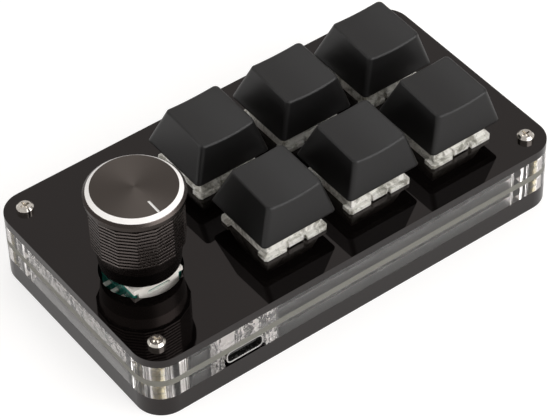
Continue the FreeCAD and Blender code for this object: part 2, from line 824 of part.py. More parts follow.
# Levels of the encoder, from the board's upper face
cover_bottom = s.encoder_base_height
cover_top = cover_bottom + s.cover_thickness
bushing_top = cover_top + s.bushing_height
collar_top = cover_bottom - s.collar_gap
collar_bottom = collar_top - s.collar_height
rotor_bottom = s.encoder_floor + s.rotor_lift
shaft_foot = s.encoder_floor + s.dome_height + s.dome_gap
cover_deep = s.encoder_deep + s.cover_overhang * 2
leg_y = s.encoder_deep / 2 + s.leg_thickness / 2

# Levels of the knob, from its lower rim
knob_bottom = z_top + s.knob_clearance
roof_bottom = s.knob_height - s.knob_roof
recess_top = z_board_top + bushing_top + s.core_recess_lift - knob_bottom + s.knob_travel
shaft_top = knob_bottom + roof_bottom - s.core_shaft_end_gap - z_board_top
flat_bottom = bushing_top + s.shaft_flat_start


def make_encoder_base():
    """Moulded box, open at the top."""
    outer = box(s.encoder_across, s.encoder_deep, s.encoder_base_height)
    hollow = box(s.encoder_across - s.encoder_wall * 2, s.encoder_deep - s.encoder_wall * 2,
                 s.encoder_base_height - s.encoder_floor, z=s.encoder_floor)
    return cut(outer, hollow, name="encoder_base")


def make_encoder_cover():
    """Bent metal cover: a plate with a leg down each side, slotted, that ends in a solder lug."""
    body = new_body("cover_body")
    outline = new_sketch(body, "cover_outline", lift=cover_bottom)
    draw_rectangle(outline, s.encoder_across, cover_deep)
    draw_circle(outline, s.bushing_diameter + s.bushing_seat_gap * 2)
    pad(body, outline, s.cover_thickness, "cover_plate")
    shapes = [body]
    for side in (-1, 1):
        blank = box(s.leg_across, s.leg_thickness, cover_bottom - s.leg_bottom, y=leg_y * side,
                    z=s.leg_bottom, name="leg")
        slot_half = (s.leg_slot_across - s.leg_slot_height) / 2
        slot = [box(slot_half * 2, s.leg_thickness, s.leg_slot_height, y=leg_y * side,
                    z=s.leg_slot_middle - s.leg_slot_height / 2, name="leg_slot")]
        for end in (-1, 1):
            round_end = cylinder(s.leg_slot_height, s.leg_thickness, name="leg_slot_end")
            round_end.Placement.Rotation = FreeCAD.Rotation(VECTOR(1, 0, 0), -90)
            place_again = {"x": slot_half * end, "y": leg_y * side - s.leg_thickness / 2,
                           "z": s.leg_slot_middle}
            for axis, size in place_again.items():
                round_end.setExpression("Placement.Base." + axis, size.text)
            slot.append(round_end)
        shapes.append(cut(blank, *slot, name="slotted_leg"))
        shapes.append(box(s.lug_across, s.leg_thickness, s.leg_bottom + s.lug_reach, y=leg_y * side,
                          z=-s.lug_reach, name="lug"))
    return fuse(*shapes, name="encoder_cover")


def make_bushing():
    height = bushing_top - cover_bottom
    bore = cylinder(s.shaft_diameter + s.shaft_gap * 2, height, z=cover_bottom)
    return cut(cylinder(s.bushing_diameter, height, z=cover_bottom), bore, name="encoder_bushing")


def make_terminal(side):
    """Bent strip from the base's side down through the board."""
    reach = s.terminal_spread + s.terminal_thickness / 2 - s.encoder_across / 2
    middle = (s.encoder_across / 2 + reach / 2 - s.terminal_spread) * side
    arm = box(reach, s.terminal_width, s.terminal_thickness, x=middle,
              z=s.terminal_height - s.terminal_thickness)
    leg = box(s.terminal_thickness, s.terminal_width, s.terminal_height + s.terminal_reach,
              z=-s.terminal_reach)
    return fuse(arm, leg, name="terminal")


def flat_bar(diameter, thickness, high, z, name):
    """A round bar with two flats."""
    return common(cylinder(diameter, high, z=z), box(diameter, thickness, high, z=z), name=name)


def make_rotor():
    """Contact wheel with a slot for the shaft's tongue."""
    slot = flat_bar(s.tongue_diameter + s.tongue_gap * 2, s.tongue_thickness + s.tongue_gap * 2,
                    s.rotor_thickness, rotor_bottom, "rotor_slot")
    return cut(cylinder(s.rotor_diameter, s.rotor_thickness, z=rotor_bottom), slot, name="encoder_rotor")


def make_shaft():
    """Shaft with a flat for the knob, a collar under the bushing and a tongue through the rotor."""
    bar = cylinder(s.shaft_diameter, shaft_top - collar_top, z=collar_top, name="bar")
    side = (s.shaft_diameter + s.shaft_flat_depth) / 2 - s.shaft_flat_depth
    flat = box(s.shaft_flat_depth, s.shaft_diameter, shaft_top - flat_bottom,
               x=side, z=flat_bottom, name="flat")
    collar = cylinder(s.collar_diameter, s.collar_height, z=collar_bottom, name="collar")
    tongue = flat_bar(s.tongue_diameter, s.tongue_thickness, collar_bottom - shaft_foot, shaft_foot, "tongue")
    return fuse(cut(bar, flat, name="flatted_bar"), collar, tongue, name="encoder_shaft")


def make_dome():
    """Snap dome of the push switch, a thin sprung cap."""
    thin = s.dome_thickness * 2
    outer = cone(s.dome_diameter, s.dome_crown_diameter, s.dome_height, z=s.encoder_floor)
    inner = cone(s.dome_diameter - thin, s.dome_crown_diameter - thin, s.dome_height - s.dome_thickness,
                 z=s.encoder_floor)
    return cut(outer, inner, name="push_dome")


def make_knob_core():
    """Plastic plug that fills the knob and grips the shaft and its flat."""
    blank = cylinder(s.knob_bore_diameter - s.core_gap * 2, roof_bottom - s.core_lift, z=s.core_lift)
    recess = cylinder(s.bushing_diameter + s.core_recess_gap * 2, recess_top - s.core_lift, z=s.core_lift)
    bore = cylinder(s.shaft_diameter + s.core_shaft_gap * 2, roof_bottom - recess_top, z=recess_top)
    side = (s.shaft_diameter + s.shaft_flat_depth) / 2 - s.shaft_flat_depth + s.core_shaft_gap
    key = box(s.shaft_flat_depth, s.shaft_diameter * 2, roof_bottom - recess_top, x=side, z=recess_top)
    return cut(blank, recess, cut(bore, key, name="flatted_bore"), name="knob_core")


def draw_knob_polygon(sketch, corner_radius):
    """The many-sided outline of the knob's band."""
    step = 2 * math.pi / KNOB_SIDE_COUNT
    angles = [math.radians(s.knob_facet_start.value) + step * i for i in range(KNOB_SIDE_COUNT)]
    draw_polygon(sketch, [(corner_radius * math.cos(a), corner_radius * math.sin(a)) for a in angles])


def make_knob_shell():
    """Turned metal cap with a many-sided band of flat ribs and a pointer line on the top."""
    body = new_body("knob_body")
    top = s.knob_height
    ring = top - s.knob_ring_drop
    collar_low = ring - s.knob_collar_height
    band_top = collar_low - s.knob_groove_height
    band_low = band_top - s.knob_band_height
    root = s.knob_band_diameter / 2 - s.knob_rib_depth
    core = root * math.cos(math.pi / KNOB_SIDE_COUNT) - s.knob_band_core_inset
    section = new_sketch(body, "knob_section", plane="XZ_Plane")
    draw_polygon(section, [
        (s.knob_bore_diameter / 2, ZERO), (s.knob_skirt_bottom_diameter / 2, ZERO),
        (s.knob_skirt_top_diameter / 2, band_low), (core, band_low),
        (core, band_top), (s.knob_groove_diameter / 2, band_top),
        (s.knob_groove_diameter / 2, collar_low), (s.knob_collar_diameter / 2, collar_low),
        (s.knob_collar_diameter / 2, ring - s.knob_collar_round), (s.knob_ring_diameter / 2, ring),
        (s.knob_disc_diameter / 2, top), (ZERO, top),
        (ZERO, roof_bottom), (s.knob_bore_diameter / 2, roof_bottom)])
    revolve(body, "Revolution", section, "knob_blank")
    pointer = new_sketch(body, "pointer", lift=top)
    angle = math.radians(s.pointer_angle.value)
    along, across = (math.cos(angle), math.sin(angle)), (-math.sin(angle), math.cos(angle))
    half = s.pointer_width / 2
    ends = (s.pointer_inner_radius, s.knob_disc_diameter / 2)
    draw_polygon(pointer, [(ends[end] * along[0] + half * across[0] * side,
                            ends[end] * along[1] + half * across[1] * side)
                           for end, side in ((0, -1), (1, -1), (1, 1), (0, 1))])
    pocket(body, pointer, s.pointer_depth, "pointer_cut")
    rib_root = new_sketch(body, "rib_root", lift=band_low)
    draw_knob_polygon(rib_root, root)
    draw_circle(rib_root, (core - s.knob_band_core_inset) * 2)
    pad(body, rib_root, s.knob_band_height, "band")
    rib = new_sketch(body, "rib", lift=band_low)
    draw_knob_polygon(rib, s.knob_band_diameter / 2)
    draw_circle(rib, (core - s.knob_band_core_inset) * 2)
    first_rib = pad(body, rib, s.knob_rib_height, "first_rib")
    ribs = body.newObject("PartDesign::LinearPattern", "ribs")
    ribs.Originals = [first_rib]
    ribs.Direction = (origin_part(body, "Z_Axis"), [""])
    ribs.Occurrences = RIB_COUNT
    bind(ribs, Length=s.knob_band_height - s.knob_rib_height)
    body.Tip = ribs
    return body


def make_socket_shell():
    """Drawn metal sleeve with round sides, open at the front."""
    body = new_body("socket_body")
    outline = new_sketch(body, "sleeve", plane="XZ_Plane")
    draw_rounded_rectangle(outline, s.socket_width, s.socket_height, s.socket_radius)
    thin = s.socket_wall * 2
    draw_rounded_rectangle(outline, s.socket_width - thin, s.socket_height - thin,
                           s.socket_radius - s.socket_wall)
    pad(body, outline, s.socket_depth, "sleeve_walls")
    return body


def make_socket_tongue():
    """Contact tongue on the plastic block that closes the sleeve's rear."""
    body = new_body("tongue_body")
    rear = new_sketch(body, "rear_block", plane="XZ_Plane")
    thin = s.socket_wall * 2
    draw_rounded_rectangle(rear, s.socket_width - thin, s.socket_height - thin,
                           s.socket_radius - s.socket_wall)
    pad(body, rear, s.socket_base_depth, "block")
    tongue = new_sketch(body, "tongue", plane="XZ_Plane")
    draw_rectangle(tongue, s.socket_tongue_width, s.socket_tongue_thickness)
    pad(body, tongue, s.socket_depth - s.socket_tongue_set_back, "tongue_bar")
    return body


def make_chip():
    """Controller chip with a row of bent legs down each long side, hanging from z = 0."""
    low = -s.chip_stand_off - s.chip_height
    parts = [box(s.chip_across, s.chip_deep, s.chip_height, z=low, name="chip_block")]
    middle = low + s.chip_height / 2
    outer_y = s.chip_deep / 2 + s.chip_leg_reach
    for side in (-1, 1):
        for i in range(CHIP_LEG_COUNT):
            x = s.chip_leg_pitch * (i - (CHIP_LEG_COUNT - 1) / 2)
            parts.append(box(s.chip_leg_width, s.chip_leg_reach / 2, s.chip_leg_thickness, x=x,
                             y=(s.chip_deep / 2 + s.chip_leg_reach / 4) * side, z=middle, name="leg_top"))
            parts.append(box(s.chip_leg_width, s.chip_leg_thickness, -middle, x=x,
                             y=(s.chip_deep / 2 + s.chip_leg_reach / 2) * side, z=middle, name="leg_drop"))
            parts.append(box(s.chip_leg_width, s.chip_leg_reach / 2, s.chip_leg_thickness, x=x,
                             y=(outer_y - s.chip_leg_reach / 4) * side, z=-s.chip_leg_thickness,
                             name="leg_foot"))
    return fuse(*parts, name="controller_chip")


def make_small_parts():
    """A row of small square-ended parts, hanging from z = 0."""
    return group(*[box(s.small_part_across, s.small_part_deep, s.small_part_height,
                       x=s.small_part_pitch * i, z=-s.small_part_height, name="small_part")
                   for i in range(SMALL_PART_COUNT)], name="board_components")


# Case, from the underside up
node("bottom_plate", make_bottom_plate())
node("lower_frame", make_lower_frame(), z=z_lower_frame)
node("circuit_board", make_board(), z=z_board)
node("upper_frame", make_frame("upper_frame_body", s.upper_frame_thickness), z=z_upper_frame)
node("top_plate", make_top_plate(), z=z_top_plate)
node("top_screws", at_corners(make_top_screw, z_top, "top_screw_group"))
node("standoffs", at_corners(make_standoff, z_standoff, "standoff_group"))
node("bottom_screws", at_corners(make_bottom_screw, ZERO, "bottom_screw_group"))

# Data socket and the parts under the board
socket_back = -half_width + s.socket_set_back + s.socket_depth
socket_z = z_board - s.socket_height / 2
node("socket_shell", make_socket_shell(), socket_x, socket_back, socket_z)
node("socket_tongue", make_socket_tongue(), socket_x, socket_back, socket_z)
node("controller_chip", make_chip(), key_middle_x - s.chip_from_keys, ZERO, z_board)
node("board_components", make_small_parts(), key_middle_x - s.small_part_from_keys, ZERO, z_board)

# Keys
pins = []
for label, column, row in KEYS:
    x, y = key_place(column, row)
    node("switch_base_" + label, make_switch_base(), x, y, z_top)
    node("switch_lid_" + label, make_switch_lid(), x, y, z_top)
    node("key_spring_" + label, make_spring(), x, y, z_top + floor_top + s.spring_end_gap)
    node("key_stem_" + label, make_slider(), x, y, z_top)
    node("keycap_" + label, make_keycap(), x, y, z_top)
    pins += [make_switch_pin(pin_x, pin_y) for pin_x, pin_y in switch_pin_places(x, y)]
node("switch_pins", group(*pins, name="pin_group"))

# Encoder and knob
encoder = (encoder_x, s.encoder_y, z_board_top)
node("encoder_base", make_encoder_base(), *encoder)
node("encoder_cover", make_encoder_cover(), *encoder)
node("encoder_bushing", make_bushing(), *encoder)
node("encoder_terminals", group(*[place(make_terminal(side), x, y)
                                  for x, y, side in encoder_terminal_places()]), *encoder)
node("encoder_rotor", make_rotor(), *encoder)
node("encoder_shaft", make_shaft(), *encoder)
node("push_dome", make_dome(), *encoder)
node("knob_core", make_knob_core(), encoder_x, s.encoder_y, knob_bottom)
node("knob_shell", make_knob_shell(), encoder_x, s.encoder_y, knob_bottom)

doc.recompute()
failed = [thing.Name for thing in doc.Objects if "Invalid" in thing.State or "Error" in thing.State]
if failed:
    raise RuntimeError("not built: " + ", ".join(failed))
for label, thing in nodes.items():
    if thing.Shape.isNull() or not thing.Shape.isValid() or not thing.Shape.Solids:
        raise RuntimeError("bad shape: " + label)
os.makedirs("parts", exist_ok=True)
for label, thing in nodes.items():
    thing.Shape.exportStep("parts/%s.step" % label)
    bounds = thing.Shape.BoundBox
    print("%-28s %d solids %9.2f mm3  z %.2f to %.2f" % (
        label, len(thing.Shape.Solids), thing.Shape.Volume, bounds.ZMin, bounds.ZMax))
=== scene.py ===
import json
import math

import bmesh
import bpy
from mathutils import Matrix, Vector


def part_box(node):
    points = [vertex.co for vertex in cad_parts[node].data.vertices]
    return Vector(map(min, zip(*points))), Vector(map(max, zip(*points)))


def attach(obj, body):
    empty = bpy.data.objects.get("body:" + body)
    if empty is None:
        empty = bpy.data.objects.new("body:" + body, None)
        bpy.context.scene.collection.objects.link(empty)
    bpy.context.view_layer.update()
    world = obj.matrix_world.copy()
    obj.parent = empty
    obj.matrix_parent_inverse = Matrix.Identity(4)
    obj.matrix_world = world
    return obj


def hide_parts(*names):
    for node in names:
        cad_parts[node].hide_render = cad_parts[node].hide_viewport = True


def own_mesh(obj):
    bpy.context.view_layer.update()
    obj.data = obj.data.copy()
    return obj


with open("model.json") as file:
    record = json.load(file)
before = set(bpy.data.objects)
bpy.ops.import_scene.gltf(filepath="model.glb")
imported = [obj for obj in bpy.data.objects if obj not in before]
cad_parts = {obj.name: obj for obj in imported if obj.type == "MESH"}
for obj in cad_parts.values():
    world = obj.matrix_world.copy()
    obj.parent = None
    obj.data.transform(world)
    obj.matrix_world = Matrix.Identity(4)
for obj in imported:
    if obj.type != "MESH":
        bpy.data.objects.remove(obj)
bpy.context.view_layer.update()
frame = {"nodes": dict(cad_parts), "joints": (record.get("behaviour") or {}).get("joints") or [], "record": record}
nodes = frame["nodes"]
MM = 0.001

# Camera that took the photograph, in the part's frame
FOCAL_PIXELS = 2590.6
IMAGE_WIDTH = 550
SENSOR_WIDTH = 36.0
CAMERA_AZIMUTH = -35.56
CAMERA_ELEVATION = 45.03
CAMERA_ROLL = -1.80
CAMERA_DISTANCE = 536.69 * MM
CAMERA_TARGET = Vector((-2.26, -1.68, 8.0)) * MM
CAMERA_CLIP = (0.01, 20.0)

# The floor's own glow for the camera, and the shares of it that mirrors and clear sheets see
FLOOR_REACH = 4.0
FLOOR_GLOW = 0.7
MIRRORED_SHARE = 0.65
THROUGH_SHARE = 1.2

# The sky's level round the part and overhead, and the heights between which it falls
SKY = 0.6
SKY_OVERHEAD = 0.12
SKY_FALL = (0.8, 0.92)
SKY_COLOUR = (1.0, 0.965, 0.94, 1.0)

# Softboxes: name, centre, width and height in metres, and power in watts
SOFTBOX_AIM = (0, 0, 0.02)
SOFTBOXES = (
    ("back", (0.2, 0.28, 0.85), 0.35, 0.35, 1.05),
    ("front", (0.26, -0.62, 0.48), 0.7, 0.6, 5.0),
    ("left", (-0.55, 0.12, 0.12), 0.4, 0.2, 1.0),
)
LIGHT_BOUNCES = 24
GLOSSY_BOUNCES = 16

# Zones on the inner walls of the clear frames
ACRYLIC_IOR = 1.49
WALL_MARGIN = 1.5 * MM
SOCKET_SIDE_REACH = 4.6 * MM
BEHIND_SOCKET_X = (-38.5 * MM, -18.0 * MM)
PANEL_X = (-34.4 * MM, -31.2 * MM)
KNOB_END_REACH = 5.5 * MM
KNOB_END_Y = (-17.0 * MM, 17.0 * MM)
CALM_X = (-41.0 * MM, 41.0 * MM)

# How much of the light the inner walls' real frost, the bright panel's painted highlight and the calm middle
# scatter
WALL_FROST = 0.035
PANEL_PAINTED_HIGHLIGHT = 0.95
CALM_ROUGHNESS = 0.3

# Zones of the knob: radii from its axis, depths below its top and the height of its skirt; the collar and the
# skirt are painted darker as painted shade, and the ring matt white as a painted reflection
RING_RADII = (8.76 * MM, 9.62 * MM)
COLLAR_RADIUS = 9.7 * MM
RING_DEPTH = 0.9 * MM
COLLAR_DEPTH = 2.4 * MM
DISC_DEPTH = 0.3 * MM
POINTER_DEPTH = 0.08 * MM
SKIRT_HEIGHT = 3.4 * MM

# The key springs' wire radius, turns and rise of each closed end turn
WIRE_RADIUS = 0.2 * MM
COIL_TURNS = 7
END_RISE = 0.42 * MM
STEPS_PER_TURN = 18
WIRE_SIDES = 8

# Section of the snap dome, out and back in, as shares of its radius and height
DOME_OUTSIDE = [(1.0, 0.0), (0.93, 0.22), (0.78, 0.52), (0.55, 0.82), (0.3, 1.0), (0.0, 1.0)]
DOME_INSIDE = [(0.0, 0.79), (0.28, 0.79), (0.5, 0.63), (0.72, 0.36), (0.85, 0.14), (0.9, 0.0)]
DOME_SIDES = 32


class Nodes:
    """A material's node tree, with short calls for the nodes that the finishes use."""

    def __init__(self, name):
        self.material = bpy.data.materials.new(name)
        self.material.use_nodes = True
        self.tree = self.material.node_tree
        self.shader = self.tree.nodes["Principled BSDF"]

    def feed(self, value, socket):
        """Sets a socket to a value, or links another socket to it."""
        if isinstance(value, bpy.types.NodeSocket):
            self.tree.links.new(value, socket)
        else:
            socket.default_value = value

    def add(self, kind, inputs=None, **settings):
        """A new node with its settings, and its inputs fed by name or number."""
        made = self.tree.nodes.new("ShaderNode" + kind)
        for name, value in settings.items():
            setattr(made, name, value)
        for key, value in (inputs or {}).items():
            self.feed(value, made.inputs[key])
        return made

    def set(self, **values):
        """Feeds the shader's sockets by name, with _ for a space."""
        for name, value in values.items():
            self.feed(value, self.shader.inputs[name.replace("_", " ")])

    def place(self):
        """Position in the part's frame, which stays with the piece as it moves."""
        return self.add("TexCoord").outputs["Object"]

    def flat_normal(self):
        return self.add("NewGeometry").outputs["True Normal"]

    def parts(self, vector):
        return self.add("SeparateXYZ", {0: vector}).outputs

    def vector_math(self, operation, first, second):
        return self.add("VectorMath", {0: first, 1: second}, operation=operation).outputs[0]

    def stretched(self, scale):
        """The place multiplied by a scale for each axis, where a small one draws a pattern out."""
        return self.vector_math("MULTIPLY", self.place(), scale)

    def noise(self, vector, scale, detail=3.0, roughness=0.5, distortion=0.0):
        inputs = {"Vector": vector, "Scale": scale, "Detail": detail, "Roughness": roughness,
                  "Distortion": distortion}
        return self.add("TexNoise", inputs).outputs["Fac"]

    def math(self, operation, first, second=0.0, clamp=False):
        return self.add("Math", {0: first, 1: second}, operation=operation, use_clamp=clamp).outputs[0]

    def total(self, first, second, clamp=False):
        return self.math("ADD", first, second, clamp)

    def product(self, first, *others):
        for other in others:
            first = self.math("MULTIPLY", first, other)
        return first

    def above(self, value, limit):
        return self.math("GREATER_THAN", value, limit)

    def below(self, value, limit):
        return self.math("LESS_THAN", value, limit)

    def between(self, value, low, high):
        """1 where the value lies between low and high, else 0."""
        return self.product(self.above(value, low), self.below(value, high))

    def spread(self, value, source, target=(0.0, 1.0)):
        """The value carried from the source range to the target range, and held at its ends."""
        inputs = {"Value": value, "From Min": source[0], "From Max": source[1],
                  "To Min": target[0], "To Max": target[1]}
        return self.add("MapRange", inputs).outputs["Result"]

    def mix(self, kind, share, first, second):
        """A colour or vector that goes from first to second as share goes from 0 to 1."""
        made = self.add("Mix", {"Factor": share}, data_type=kind)
        ends = [socket for socket in made.inputs if socket.type == kind][-2:]
        self.feed(first, ends[0])
        self.feed(second, ends[1])
        return next(socket for socket in made.outputs if socket.type == kind)

    def blend(self, share, first, second):
        return self.mix("RGBA", share, opaque(first), opaque(second))

    def relief(self, height, depth, strength, under=None):
        """A bump whose height of 1 stands depth metres proud."""
        inputs = {"Strength": strength, "Distance": depth, "Height": height}
        if under is not None:
            inputs["Normal"] = under
        return self.add("Bump", inputs).outputs["Normal"]

    def soft_edges(self, radius):
        """Normals that round the sharp edges by a small radius."""
        return self.add("Bevel", {"Radius": radius}, samples=4).outputs["Normal"]


def opaque(colour):
    """The colour with an alpha of 1, where it is given as three numbers."""
    if isinstance(colour, tuple):
        return (*colour, 1.0)
    return colour


def grey(level):
    return (level, level, level)


def cut_streaks(n, fine, broad):
    """Upright marks that a cutting beam leaves on a sheet's edge."""
    where = n.stretched((1.0, 1.0, 0.06))
    return n.total(n.product(n.noise(where, fine, detail=2.0), 0.6),
                   n.product(n.noise(where, broad, detail=2.0), 0.4))


def edge_share(n):
    """1 on the upright edges of a sheet and 0 on its flat faces."""
    flatness = n.math("ABSOLUTE", n.parts(n.flat_normal())[2])
    return n.below(flatness, 0.5)


def black_sheet():
    """Polished black acrylic with a little dust and with beam marks on its edges."""
    n = Nodes("black_acrylic")
    edge = edge_share(n)
    dust = n.noise(n.place(), 2200.0, detail=4.0, roughness=0.7)
    haze = n.noise(n.place(), 60.0)
    streaks = n.product(cut_streaks(n, 900.0, 120.0), edge)
    n.set(Base_Color=n.blend(n.spread(haze, (0.3, 0.7)), (0.0014, 0.001, 0.001), (0.0028, 0.0022, 0.002)),
          Roughness=n.total(n.product(edge, 0.12), n.spread(dust, (0.4, 0.8), (0.02, 0.07))),
          IOR=ACRYLIC_IOR, Specular_IOR_Level=0.5, Specular_Tint=(1.0, 0.9, 0.88, 1.0),
          Normal=n.relief(streaks, 0.02 * MM, 0.5))
    return n.material


def inner_walls(n):
    """Shares that are 1 on the frames' inner walls: all, the lively ones, and one bright panel that gets a painted
    highlight.

    The lively walls are behind the data socket, and in the upper frame at the knob's end.
    """
    low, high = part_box("upper_frame")
    x, y, z = n.parts(n.place())
    upper = n.above(z, low.z)
    inside = n.product(n.between(x, low.x + WALL_MARGIN, high.x - WALL_MARGIN),
                       n.between(y, low.y + WALL_MARGIN, high.y - WALL_MARGIN))
    every = n.product(inside, edge_share(n))
    socket_side = n.product(every, n.below(y, low.y + SOCKET_SIDE_REACH))
    behind_socket = n.product(socket_side, n.between(x, *BEHIND_SOCKET_X))
    knob_end = n.product(every, n.below(x, low.x + KNOB_END_REACH), n.between(y, *KNOB_END_Y), upper)
    panel = n.product(socket_side, n.between(x, *PANEL_X), upper)
    return every, n.math("MAXIMUM", behind_socket, knob_end), panel


def clear_sheet():
    """Clear acrylic with streaked edges and a faint frost on its inner walls; white frosting in patches and in one
    panel on the lively walls is a painted highlight where light shines through them.
    """
    n = Nodes("clear_acrylic")
    edge = edge_share(n)
    inner, lively, panel = inner_walls(n)
    streaks = n.product(cut_streaks(n, 700.0, 150.0), edge, 0.35)
    cut_marks = n.noise(n.stretched((1.0, 1.0, 0.15)), 1400.0, detail=4.0, roughness=0.7)
    patches = n.noise(n.stretched((1.0, 1.0, 0.45)), 900.0, roughness=0.6, distortion=1.2)
    height = n.total(streaks, n.product(cut_marks, lively, 11.0))
    # painted highlight: white frosting in patches on the lively walls and over the panel stands in for light
    # shining through the walls
    bright = n.product(n.spread(patches, (0.48, 0.54)), lively)
    frost_and_painted_highlight = n.total(n.product(inner, WALL_FROST),
                      n.math("MAXIMUM", bright, n.product(panel, PANEL_PAINTED_HIGHLIGHT)))
    middle = n.between(n.parts(n.place())[0], *CALM_X)
    calm = n.product(n.math("SUBTRACT", inner, lively), middle, CALM_ROUGHNESS)
    n.set(Base_Color=n.blend(n.noise(n.place(), 40.0), (0.96, 0.93, 0.91), (1.0, 0.975, 0.96)),
          Roughness=n.total(n.product(edge, 0.04), calm),
          IOR=ACRYLIC_IOR, Transmission_Weight=n.math("SUBTRACT", 1.0, frost_and_painted_highlight),
          Normal=n.relief(height, 0.05 * MM, 0.6))
    return n.material


def board_finish():
    """Black solder mask on the faces, and pale glass fibre in layers on the cut edge."""
    n = Nodes("board")
    edge = edge_share(n)
    fibres = n.noise(n.stretched((1.0, 1.0, 6.0)), 700.0, detail=4.0, roughness=0.7)
    layers = n.noise(n.stretched((0.05, 0.05, 1.0)), 4000.0, detail=2.0)
    pale = n.blend(n.product(fibres, layers), (0.17, 0.167, 0.145), (0.32, 0.315, 0.28))
    mask = n.blend(n.noise(n.place(), 300.0), (0.004, 0.004, 0.0045), (0.01, 0.01, 0.011))
    n.set(Base_Color=n.blend(edge, mask, pale), Roughness=n.total(0.28, n.product(edge, 0.4)),
          Normal=n.relief(fibres, 0.02 * MM, 0.3))
    return n.material


def metal(name, base, roughness, tint=None, depth=0.006, cloudiness=600.0, soft=0.06, metallic=1.0):
    """Metal clouded between tint and base, with depth and soft edge in millimetres."""
    n = Nodes(name)
    cloud = n.noise(n.place(), cloudiness, detail=4.0, roughness=0.6)
    fine = n.noise(n.place(), 1500.0, roughness=0.6)
    darker = tuple(channel * 0.7 for channel in base)
    n.set(Base_Color=n.blend(n.spread(cloud, (0.35, 0.7)), tint or darker, base), Metallic=metallic,
          Roughness=n.spread(fine, (0.3, 0.7), (roughness * 0.7, roughness * 1.4)),
          Normal=n.relief(fine, depth * MM, 0.4, n.soft_edges(soft * MM)))
    return n.material


def plastic(name, dark, light, roughness, grain, depth):
    """Moulded plastic mottled between two tones, with a grain of a depth in millimetres."""
    n = Nodes(name)
    fine = n.noise(n.place(), grain, detail=4.0, roughness=0.6)
    broad = n.noise(n.place(), grain / 12.0, detail=2.0)
    n.set(Base_Color=n.blend(broad, dark, light),
          Roughness=n.spread(fine, (0.3, 0.7), (roughness - 0.06, roughness + 0.06)),
          Normal=n.relief(fine, depth * MM, 0.35, n.soft_edges(0.08 * MM)))
    return n.material


def tinned_plate():
    """Pale matt plating on the encoder's pressed cover, with drawn lines along it."""
    n = Nodes("encoder_metal")
    drawn = n.noise(n.stretched((0.12, 1.0, 1.0)), 2600.0, detail=4.0, roughness=0.65)
    cloud = n.noise(n.place(), 420.0)
    n.set(Base_Color=n.blend(n.spread(cloud, (0.35, 0.7)), (0.88, 0.84, 0.78), (1.0, 0.965, 0.91)),
          Metallic=0.05, Roughness=n.spread(drawn, (0.3, 0.7), (0.3, 0.5)),
          Normal=n.relief(drawn, 0.012 * MM, 0.5, n.soft_edges(0.12 * MM)))
    return n.material


def housing_finish():
    """Milky plastic of the switches, with darker patches at random that are painted shade for the shadows inside
    them showing through.
    """
    n = Nodes("switch_housing")
    cloud = n.noise(n.place(), 250.0)
    fine = n.noise(n.place(), 2500.0)
    painted_shade_blotches = n.noise(n.place(), 420.0, detail=4.0, roughness=0.65, distortion=0.6)
    milky = n.blend(cloud, (0.74, 0.725, 0.67), (0.9, 0.885, 0.83))
    # painted shade: darker patches at random stand in for the shadows inside and on the housings
    n.set(Base_Color=n.blend(n.spread(painted_shade_blotches, (0.36, 0.54)), (0.3, 0.29, 0.25), milky),
          Roughness=n.spread(fine, (0.3, 0.7), (0.2, 0.4)),
          Subsurface_Weight=0.35, Subsurface_Radius=(1.0, 1.0, 0.9), Subsurface_Scale=1.2 * MM,
          Normal=n.relief(fine, 0.006 * MM, 0.3, n.soft_edges(0.15 * MM)))
    return n.material


def keycap_finish():
    """Black satin plastic with a very fine grain and soft edges."""
    n = Nodes("keycap_plastic")
    fine = n.noise(n.place(), 5200.0, roughness=0.65)
    broad = n.noise(n.place(), 180.0)
    n.set(Base_Color=n.blend(broad, (0.0024, 0.0021, 0.0022), (0.0042, 0.0038, 0.0039)),
          Roughness=n.spread(fine, (0.3, 0.7), (0.36, 0.48)), IOR=1.5,
          Normal=n.relief(fine, 0.012 * MM, 0.5, n.soft_edges(0.55 * MM)))
    return n.material


